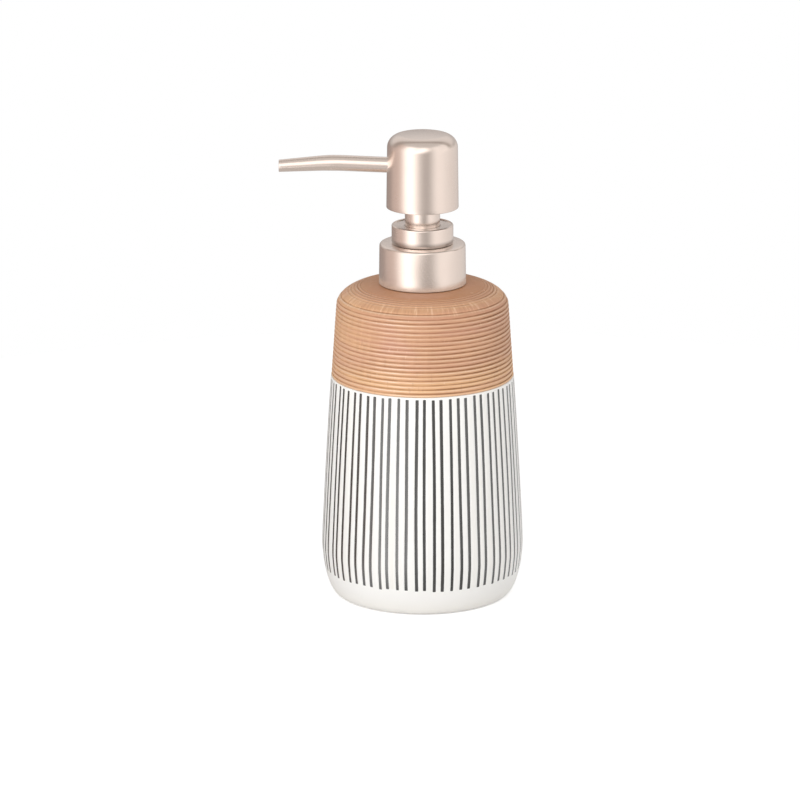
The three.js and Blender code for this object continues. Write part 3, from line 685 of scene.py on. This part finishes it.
def woodSleeve():
    low, high = nodeBox("wood_sleeve")
    cad = cadOutline("wood_sleeve")
    straightTo = high.z - sleeve["shoulderRise"]
    wide = sleeve["headRadius"] - sleeve["flatRadius"]
    # the plain outer curve, sampled finely, then thinned where nothing is cut
    samples = 400
    side = [(high.x + (sleeve["headRadius"] - high.x) * t, low.z + (straightTo - low.z) * t)
            for t in np.linspace(0, 1, samples)]
    crown = arc(sleeve["flatRadius"], straightTo, wide, sleeve["shoulderRise"], 0, 90, samples)
    curve = np.array(side + crown[1:])
    along = np.concatenate([[0], np.cumsum(np.hypot(*np.diff(curve, axis=0).T))])

    deepPitch, deepDepth, deepHalf = sleeve["deep"]
    finePitch, fineDepth, fineHalf = sleeve["fine"]
    grooves = []
    z = high.z - sleeve["deepDrop"]
    while z > low.z + deepPitch / 2:
        grooves.append((np.interp(z, curve[:, 1], along), deepDepth, deepHalf))
        z -= deepPitch
    for i in range(sleeve["fineCount"]):
        radius = sleeve["fineFrom"] + i * finePitch
        grooves.append((np.interp(-radius, -curve[samples:, 0], along[samples:]), fineDepth, fineHalf))
    last = max(g[0] for g in grooves) + 0.6
    rows = np.concatenate([
        np.arange(0, last, sleeve["fineStep"]), np.arange(last, along[-1], sleeve["plainStep"]), [along[-1]]])
    r = np.interp(rows, along, curve[:, 0])
    z = np.interp(rows, along, curve[:, 1])
    slopeR, slopeZ = np.gradient(r, rows), np.gradient(z, rows)
    steep = np.hypot(slopeR, slopeZ)
    outR, outZ = slopeZ / steep, -slopeR / steep

    turns = evenTurns(sleeve["columns"])
    rubbedSide = nearTo(turns, radians(sleeve["rubbedAt"]), radians(sleeve["rubbedReach"]))
    sunk = np.zeros((len(rows), len(turns)))
    crest = np.zeros_like(sunk)
    for g, (length, depth, halfWidth) in enumerate(grooves):
        isFine = depth == fineDepth
        places = [Vector((cos(a), sin(a), g * 2.3)) for a in turns]
        shift = np.array([noise.noise(p * 1.7) + 0.4 * noise.noise(p * 6) for p in places]) * sleeve["wander"]
        slow = np.array([noise.noise(p * 1.8 + Vector((9, 0, 0))) for p in places])
        quick = np.array([noise.noise(p * 13) for p in places])
        bite = (0.88 + 0.55 * slow + 0.3 * quick) * draws.uniform(*sleeve["uneven"])
        bite = np.clip(bite, *sleeve["biteLimits"])
        # a hand has rubbed the middle ribs softer, most of all on one side
        drop = high.z - np.interp(length, along, curve[:, 1])
        middleHeight = nearTo(drop, sleeve["rubbedDrop"], sleeve["rubbedTall"])
        bite *= 1 - sleeve["rubbed"] * (0.35 + 0.65 * rubbedSide) * middleHeight
        offset = rows[:, None] - length - shift[None, :]
        gap = np.abs(offset) / halfWidth
        cut = np.clip(1 - gap, 0, 1) ** 1.35
        # a painted highlight: a pale line just below each groove, where the rib's upper edge would catch the
        # light
        below = np.clip(1 - np.abs(offset + sleeve["crestOffset"]) / sleeve["crestHalfWidth"], 0, 1)
        crest = np.maximum(crest, below * bite[None, :] * (sleeve["fineCrest"] if isFine else 1))
        bead = sleeve["bead"] * np.clip(1 - gap * halfWidth / (deepPitch / 2), 0, 1) ** 2
        bead *= sleeve["fineBead"] if isFine else 1
        sunk = np.maximum(sunk, depth * bite[None, :] * cut + bead)
    footEase = np.clip(1 - rows / sleeve["footEdge"], 0, 1) ** 2 * sleeve["footEdge"] * 0.6
    radii = r[:, None] - outR[:, None] * sunk - footEase[:, None]
    heights = z[:, None] - outZ[:, None] * sunk
    rings = [[onRound(*place) for place in zip(row, turns, up)] for row, up in zip(radii, heights)]

    def cornerNear(wantR, wantZ):
        return cad.index(min(cad, key=lambda p: abs(p[0] - wantR) + abs(p[1] - wantZ)))

    start, foot = cornerNear(sleeve["flatRadius"], high.z), cornerNear(high.x, low.z)
    inside = (cad[start + 1:] + cad[:foot]) if start > foot else cad[start + 1:foot]
    inside = eased(inside, 0.3, isLoop=False, steps=2)
    rings += turnedRings(inside, sleeve["columns"])
    hidden = len(inside) * sleeve["columns"]
    piece = skinned("woodSleeve", rings, smoothAngle=75)
    keepValues(piece, "groove", np.append(sunk / deepDepth, np.full(hidden, 0.3)))
    keepValues(piece, "crest", np.append(crest, np.zeros(hidden)))
    return piece


settle(woodSleeve(), "bottle", "turned_wood", "wood_sleeve")
print("wooden sleeve built")

# Screw threads: a ridge on a helix that fades in and out over one turn
thread = {"pitch": 25.4 / 6, "depth": 1.1, "width": 2.2, "crest": 1.0, "turns": 0.9, "fade": 0.1,
          "steps": 180, "rounding": 0.25}


def threaded(name, outlineWith, wall, reach, startAngle, startZ):
    # the outline is strung round the axis, and lifted back down over the part of the turn without a ridge
    rings = []
    for i in range(thread["steps"]):
        turn = i / thread["steps"]
        angle = startAngle + turn * tau
        back = (1 - turn) / (1 - thread["turns"])
        z = startZ + thread["pitch"] * min(turn, thread["turns"] * back)
        fade = min(1, max(0, min(turn, thread["turns"] - turn) / thread["fade"]))
        crest = wall + reach * fade * fade * (3 - 2 * fade)
        half, top = thread["width"] / 2, thread["crest"] / 2
        ridge = [(wall, z - half), (crest, z - top), (crest, z + top), (wall, z + half)]
        outline = eased(outlineWith(ridge), thread["rounding"], steps=2, fromAngle=-1)
        rings.append([onRound(r, angle, h) for r, h in outline[::-1]])
    return skinned(name, rings, smoothAngle=40)


neck = {"wall": 12.55, "bore": 11.4, "lipBore": 9.4, "lip": 0.8}
insert = {"bore": 13.95, "mouth": 10.65, "plate": 2, "chamfer": 1.2}
threadStart = nodeBox("neck_ring")[0].z + thread["width"] + 1


def neckOutline(ridge):
    low, high = nodeBox("neck_ring")
    under = high.z - neck["lip"]
    return [(neck["bore"], low.z), (neck["wall"], low.z), *ridge, (neck["wall"], high.z),
            (neck["lipBore"], high.z), (neck["lipBore"], under), (neck["bore"], under)]


def insertOutline(ridge):
    low, high = nodeBox("collar_insert")
    under, chamfer = high.z - insert["plate"], insert["chamfer"]
    return [(insert["bore"], low.z), (high.x, low.z), (high.x, high.z - chamfer), (high.x - chamfer, high.z),
            (insert["mouth"], high.z), (insert["mouth"], under), (insert["bore"], under), *ridge[::-1]]


piece = threaded("neckRing", neckOutline, neck["wall"], thread["depth"], 0, threadStart)
settle(piece, "bottle", "white_plastic", "neck_ring")
piece = threaded("collarInsert", insertOutline, insert["bore"], -thread["depth"], pi / 2,
                 threadStart - thread["pitch"] / 4)
settle(piece, "collar", "white_plastic", "collar_insert")
print("threads built")

# Turned parts that keep the CAD's own outline, with eased edges:
# name, node, body, slot, easing, columns
turnedParts = [
    ("neckGasket", "neck_gasket", "gasket", "soft_seal", 0.25, 96),
    ("pumpHousing", "pump_housing", "pump_unit", "clear_plastic", 0.35, 96),
    ("stemGuide", "stem_guide", "pump_unit", "white_plastic", 0.2, 96),
    ("collarShell", "collar_shell", "collar", "rose_metal", 0.12, 160),
    ("pistonSeal", "piston", "piston_seal", "soft_seal", 0.2, 72),
    ("stemTube", "stem_tube", "head", "white_plastic", 0.2, 72),
    ("stemSleeve", "stem_sleeve", "head", "rose_metal", 0.12, 96),
]
for name, cadNode, body, slotName, easing, columns in turnedParts:
    piece = turned(name, eased(cadOutline(cadNode), easing, steps=4, fromAngle=12), columns)
    settle(piece, body, slotName, cadNode)

# Ring cap: the CAD's outline with a shallow recess inside its rim and a softly rounded foot
cap = {
    "rim": 0.5, "recess": 0.4, "recessSlope": 0.12, "easing": 0.18, "foot": 1.0, "footDraw": 0.3,
    "clearance": 0.12, "drop": 0.09, "shadeFrom": 2.4, "shadeTo": 0.8, "floorShade": 0.3, "spacing": 0.2,
    "columns": 160}


def ringCap():
    low, high = nodeBox("ring_cap")
    outline = cadOutline("ring_cap")
    bore = min(r for r, z in outline if abs(z - high.z) < 0.01)
    start = outline.index((bore, round(high.z, 3)))
    outline = outline[start:] + outline[:start]
    floor, edge = high.z - cap["recess"], high.x - cap["rim"]
    recess = [(edge, high.z), (edge - cap["recessSlope"], floor), (bore, floor)]
    outline = filled(eased(outline[1:] + recess, cap["easing"], steps=4, fromAngle=12), cap["spacing"])
    stem = nodeBox("stem_sleeve")[1].x
    done = []
    for r, z in outline:
        # the outer wall draws in towards its foot, the foot lies close to the collar, the bore to the stem
        nearFoot = min(1, max(0, 1 - (z - low.z) / cap["foot"]))
        if r > high.x - 0.4:
            r -= cap["footDraw"] * (1 - sqrt(1 - nearFoot * nearFoot))
        if abs(r - bore) < cap["easing"]:
            r = max(stem + cap["clearance"], r - (bore - stem - cap["clearance"]))
        done.append((r, z - cap["drop"] if z < low.z + cap["easing"] else z))
    piece = turned("ringCap", done, cap["columns"])
    places = np.array([v.co for v in piece.data.vertices]) / mm
    heights, radii = places[:, 2], np.hypot(places[:, 0], places[:, 1])
    # painted shade: darker towards the foot of the outer wall and over the recess floor, most towards the rim
    footShade = np.clip((cap["shadeFrom"] - (heights - low.z)) / (cap["shadeFrom"] - cap["shadeTo"]), 0, 1)
    outward = np.clip((radii - stem) / (edge - stem), 0, 1)
    inRecess = (heights > floor - 0.1) & (radii < edge)
    floorShade = np.where(inRecess, cap["floorShade"] * (0.4 + 0.6 * outward), 0)
    keepValues(piece, "paintedShadeMask", np.maximum(footShade, floorShade))
    return piece


settle(ringCap(), "pump_unit", "rose_metal", "ring_cap")

# Check ball
ball = {"rings": 24, "columns": 48}
low, high = nodeBox("check_ball")
radius = (high.z - low.z) / 2
outline = arc(0, ((low + high) / 2).z, radius, radius, -90, 90, ball["rings"])
piece = turned("checkBall", [(max(0, r), z) for r, z in outline], ball["columns"])
settle(piece, "inlet_ball", "spring_steel", "check_ball")

# Dip tube with a slanted foot
dip = {"wall": 0.8, "bevel": 3, "edge": 0.15, "columns": 64}
low, high = nodeBox("dip_tube")
bore = high.x - dip["wall"]
outline = eased([(bore, low.z), (high.x, low.z), (high.x, high.z), (bore, high.z)], dip["edge"])
rings = [[(x, y, z + dip["bevel"] * (0.5 - x / high.x / 2) if z < low.z + 1 else z) for x, y, z in ring]
         for ring in turnedRings(outline, dip["columns"])]
settle(skinned("dipTube", rings), "pump_unit", "clear_plastic", "dip_tube")

# Return spring, built at rest; the real one squashes as the head is pressed
spring = {"turns": 9, "radius": 4.3, "wire": 0.8, "sides": 12, "stepsPerTurn": 40, "seatTurn": 0.8,
          "lean": 0.25}


def headingAt(path, i):
    return (path[min(i + 1, len(path) - 1)] - path[max(i - 1, 0)]).normalized()


def swept(name, path, radius, sides):
    # a round rod along a path (mm), with closed ends
    rings = []
    for i, point in enumerate(path):
        ahead = headingAt(path, i)
        side = ahead.cross(Vector((0, 0, 1))).normalized()
        up = side.cross(ahead)
        rings.append([tuple(point + (side * cos(a) + up * sin(a)) * radius)
                      for a in evenTurns(sides)])
    start, end = ([tuple(Vector(np.mean(ring, axis=0)))] for ring in (rings[0], rings[-1]))
    return skinned(name, [start] + rings + [end], isLoop=False, smoothAngle=50)


def returnSpring():
    low, high = nodeBox("return_spring")
    bottom, top = low.z + spring["wire"] / 2, high.z - spring["wire"] / 2
    count = spring["turns"] * spring["stepsPerTurn"]
    seat = spring["seatTurn"] / spring["turns"]
    path = []
    for i in range(count + 1):
        t = i / count
        climb = min(1, max(0, (t - seat) / (1 - 2 * seat)))
        z = bottom + (top - bottom) * (climb + (t - climb) * spring["lean"])
        path.append(Vector(onRound(spring["radius"], t * spring["turns"] * tau, z)))
    return swept("returnSpring", path, spring["wire"] / 2, spring["sides"])


piece = settle(returnSpring(), "pump_unit", "spring_steel", "return_spring")
low, high = nodeBox("return_spring")
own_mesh(piece)
print("pump unit built")

# Small moulded parts whose CAD shape is right keep it
for cadNode in ("ball_cage", "valve_stem", "head_core"):
    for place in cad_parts[cadNode].material_slots:
        place.material = finishes["white_plastic"]

# Head shell
head = {"corner": 5.2, "wall": 0.7, "draft": 0.3, "flare": 0.12, "lip": 0.22, "crown": 0.3, "columns": 160}


def headShell():
    low, high = nodeBox("head_shell")
    foot, wall = high.x + head["flare"], head["wall"]
    top, corner, lip = foot - head["draft"], head["corner"], head["lip"]
    outline = arc(foot - wall + lip, low.z + lip, lip, lip, 180, 270, 4)
    outline += arc(foot - lip, low.z + lip, lip, lip, -90, 0, 4)
    turnFrom, across = high.z - corner, top - corner
    outline += [(foot - head["draft"] * t, low.z + lip + (turnFrom - low.z - lip) * t)
                for t in np.linspace(0, 1, 12)[1:-1]]
    # the top is a shallow crown that runs into the rounded corner
    rim = corner - head["crown"]
    outline += arc(across, turnFrom, corner, rim, 0, 86, 20)
    outline += [(across * t, high.z - head["crown"] * t * t) for t in np.linspace(0.96, 0, 12)]
    outline += [(0, high.z - wall - head["crown"])]
    outline += arc(across, turnFrom, corner - wall, rim - wall, 90, 0, 12)
    return skinned("headShell", turnedRings(outline, head["columns"]))


settle(headShell(), "head", "rose_metal", "head_shell")

# Spout: level out of the head, a slight rise to a soft knee, then a slight fall to an upright-cut tip
spout = {
    "rise": 15.9, "bendReach": 33.8, "bendRise": 0.85, "reach": 52.8, "tipDrop": 0.4, "softness": 5,
    "radius": 2.9, "tipRadius": 2.25, "wall": 0.55, "lip": 0.14, "linerWall": 0.5, "linerGap": 0.1,
    "linerCutBack": 0.8, "sides": 56}
headLow, headHigh = nodeBox("head_shell")
channelZ = headLow.z + spout["rise"]


def spoutPath():
    root = Vector((-headHigh.x, 0, channelZ))
    knee = Vector((-spout["bendReach"], 0, channelZ + spout["bendRise"]))
    tip = Vector((-spout["reach"], 0, channelZ - spout["tipDrop"]))
    before = knee + (root - knee).normalized() * spout["softness"]
    after = knee + (tip - knee).normalized() * spout["softness"]
    points = [Vector((nodeBox("spout_tube")[1].x, 0, channelZ))]
    points += [root.lerp(before, t) for t in np.linspace(0, 1, 14)]
    points += [bend(before, knee, after, t) for t in np.linspace(0, 1, 10)[1:]]
    points += [after.lerp(tip, t) for t in np.linspace(0, 1, 14)[1:]]
    return points


def spoutPipe(name, outer, wall, cutBack=0):
    path = spoutPath()
    path[-1] += Vector((cutBack, 0, 0))
    stations = []
    for i, point in enumerate(path):
        isEnd = i in (0, len(path) - 1)
        ahead = Vector((-1, 0, 0)) if isEnd else headingAt(path, i)
        taper = min(1, max(0, (-point.x - spout["bendReach"]) / (spout["reach"] - spout["bendReach"])))
        shrink = (spout["radius"] - spout["tipRadius"]) * taper
        stations.append((point, Vector((ahead.z, 0, -ahead.x)), outer - shrink))

    def ringAt(station, inset, back=0.0):
        point, up, r = station
        shift = point + Vector((back, 0, 0))
        return [tuple(shift + Vector((0, cos(a), 0)) * (r - inset) + up * sin(a) * (r - inset))
                for a in evenTurns(spout["sides"])]

    lip = min(spout["lip"], wall * 0.4)
    curl = [(lip * (1 - cos(a)), lip * (1 - sin(a))) for a in np.radians((0, 22, 45, 68, 90))]
    outside = [ringAt(s, 0) for s in stations[:-1]]
    inside = [ringAt(s, wall) for s in stations[:-1]]
    rim = [ringAt(stations[-1], inset, back) for inset, back in curl]
    bore = [ringAt(stations[-1], wall - inset, back) for inset, back in curl]
    return skinned(name, inside + bore + rim[::-1] + outside[::-1], smoothAngle=40)


settle(spoutPipe("spoutTube", spout["radius"], spout["wall"]), "head", "rose_metal", "spout_tube")
linerRadius = spout["radius"] - spout["wall"] - spout["linerGap"]
piece = spoutPipe("spoutLiner", linerRadius, spout["linerWall"], spout["linerCutBack"])
settle(piece, "head", "white_plastic", "spout_liner")
print("head and spout built")

# Studio: a small white table just under the piece, and three soft boxes, each with its turn from the front in
# degrees (right positive), height, distance, width and length in metres, and power in watts
studio = {
    "tableRadius": 0.38, "tableWhite": 0.86, "tableLift": 0.5, "tableContrast": 1.8, "tablePlain": 0.6,
    "grazing": (0.35, 0.68), "lightTurn": 9, "horizon": 0.80, "zenith": 0.36, "lampAim": 0.09,
    "softBoxes": {
        "softBoxLeft": (-28, 0.22, 0.8, 0.5, 0.9, 4.05), "softBoxRight": (75, 0.4, 1.1, 0.9, 0.9, 2.1),
        "softBoxTop": (20, 1.1, 0.35, 0.8, 0.8, 1.6)}}

# What shiny surfaces see: levels by turn from the front (degrees, right positive), brightness and warmth. A
# large panel stands on the left, and its right edge leans over to the right with height.
room = {
    "levels": [
        (-180, 0.46, 0.1), (-160, 0.35, 0.1), (-122, 0.45, 0.12), (-108, 0.64, 0.13), (-92, 0.68, 0.14),
        (-80, 0.76, 0.13), (-69, 1, 0.06), (-59, 1.35, 0), (-48, 1.7, 0), (-34, 1.7, 0), (-24, 1.3, 0),
        (-14, 0.92, 0), (-5, 0.68, 0), (5, 0.55, 0.02), (15, 0.53, 0.02), (24, 0.62, 0), (34, 0.86, 0),
        (46, 1.06, 0), (62, 1.06, 0), (80, 0.96, 0), (103, 0.87, 0), (142, 0.76, 0), (180, 0.46, 0.1)],
    "brightest": 1.7, "panelLean": 1.2, "panelFoot": -9, "leanUpTo": 0.62, "leanFrom": (-1, -0.2),
    "leanTo": (2.5, 1.3), "panelTop": 42, "ceilingFrom": 58, "ceiling": 0.66, "backdropLow": 0.52,
    "backdrop": 0.80, "gap": (0.37, 0.3515, 0.333), "gapAt": 0.29, "gapHalfWidth": 0.25}


def levelAt(turn):
    # the brightness ramp at a direction given in radians
    ramp = node(turn.id_data, "ValToRGB", {"Fac": summed(calc("DIVIDE", turn, tau), 0.5)})
    stops, brightest = ramp.color_ramp.elements, room["brightest"]
    for i, (angle, level, warmth) in enumerate(room["levels"]):
        stop = stops[i] if i < 2 else stops.new(1)
        share = level / brightest
        stop.position = angle / 360 + 0.5
        stop.color = (share, share * (1 - warmth), share * (1 - 1.35 * warmth), 1)
    return blend(1, ramp.outputs["Color"], (brightest,) * 3, "MULTIPLY")


def turnOf(parts):
    return calc("ARCTAN2", parts["X"], times(parts["Y"], -1))


def tableTop():
    material, tree, shaderIn = newMaterial("tableTop", {"Roughness": 1, "Specular IOR Level": 0})
    glossy, seen = rayIs(tree, "Glossy"), calc("MAXIMUM", rayIs(tree, "Camera"), rayIs(tree, "Transmission"))
    paper = times(noiseAt(objectPoint(tree), 500, 2), 0.01)
    white = times(minus(studio["tableWhite"], paper), minus(1, glossy))
    feed(shaderIn["Base Color"], blend(white, (0, 0, 0), (1, 1, 1)))
    # shiny surfaces see the lamps' light lying on the table
    turn = minus(turnOf(splitUp(objectPoint(tree))), radians(studio["lightTurn"]))
    lying = node(tree, "Gamma", {"Color": levelAt(turn), "Gamma": studio["tableContrast"]}).outputs[0]
    facing = node(tree, "LayerWeight", {"Blend": 0.5}).outputs["Facing"]
    lying = blend(remap(facing, *studio["grazing"]), (studio["tablePlain"],) * 3, lying)
    feed(shaderIn["Emission Color"], blend(glossy, (1, 1, 1), lying))
    feed(shaderIn["Emission Strength"], summed(glossy, (seen, studio["tableLift"])))
    return material


def studioWorld():
    world = bpy.data.worlds.new("studio")
    world.use_nodes = True
    tree = world.node_tree
    parts = splitUp(node(tree, "TexCoord").outputs["Generated"])
    y, z, turn = parts["Y"], parts["Z"], turnOf(parts)
    # the ramp, turned further with height in front and on the right, where the panel leans over
    rise = minus(calc("ARCSINE", z), radians(room["panelFoot"]))
    rise = node(tree, "Clamp", {"Value": rise, "Min": 0, "Max": room["leanUpTo"]}).outputs[0]
    inFront = times(remap(turn, *room["leanFrom"]), remap(turn, *room["leanTo"]))
    lean = times(times(rise, room["panelLean"]), inFront)
    walls = blend(1, levelAt(turn), levelAt(minus(turn, lean)), "LIGHTEN")
    over = remap(z, *np.sin(np.radians((room["panelTop"], room["ceilingFrom"]))))
    around = blend(over, walls, (room["ceiling"],) * 3)
    behind = times(remap(y, 0.40, 0.6), remap(z, 0.02, 0.2))
    backdrop = remap(z, 0.15, 0.45, room["backdropLow"], room["backdrop"])
    around = blend(behind, around, backdrop)
    # a dim gap between the ceiling and the backdrop
    away = calc("ABSOLUTE", minus(y, room["gapAt"]))
    gap = times(remap(away, room["gapHalfWidth"], 0), remap(z, 0, 0.4))
    around = blend(gap, around, room["gap"])
    # other rays get a plain soft sky, and the camera a white one
    soft = remap(z, 0, 1, studio["horizon"], studio["zenith"], "LINEAR")
    direct = calc("MAXIMUM", rayIs(tree, "Camera"), rayIs(tree, "Transmission"))
    lit = blend(rayIs(tree, "Glossy"), soft, around)
    feed(tree.nodes["Background"].inputs["Color"], blend(direct, lit, (1, 1, 1)))
    return world


def softBox(name, turn, height, away, width, tall, power):
    data = bpy.data.lights.new(name, "AREA")
    data.shape, data.size, data.size_y, data.energy = "RECTANGLE", width, tall, power
    lamp = bpy.data.objects.new(name, data)
    scene.collection.objects.link(lamp)
    lamp.location = (sin(radians(turn)) * away, -cos(radians(turn)) * away, height)
    aim = Vector((0, 0, studio["lampAim"])) - lamp.location
    lamp.rotation_euler = aim.to_track_quat("-Z", "Y").to_euler()
    lamp.visible_camera = lamp.visible_glossy = False


tableRings = turnedRings([(0, -0.02), (studio["tableRadius"] / mm, -0.02)], 96)
table = skinned("table", tableRings[::-1], isLoop=False)
table.data.materials.append(tableTop())
scene.world = studioWorld()
for name, row in studio["softBoxes"].items():
    softBox(name, *row)
print("studio ready")
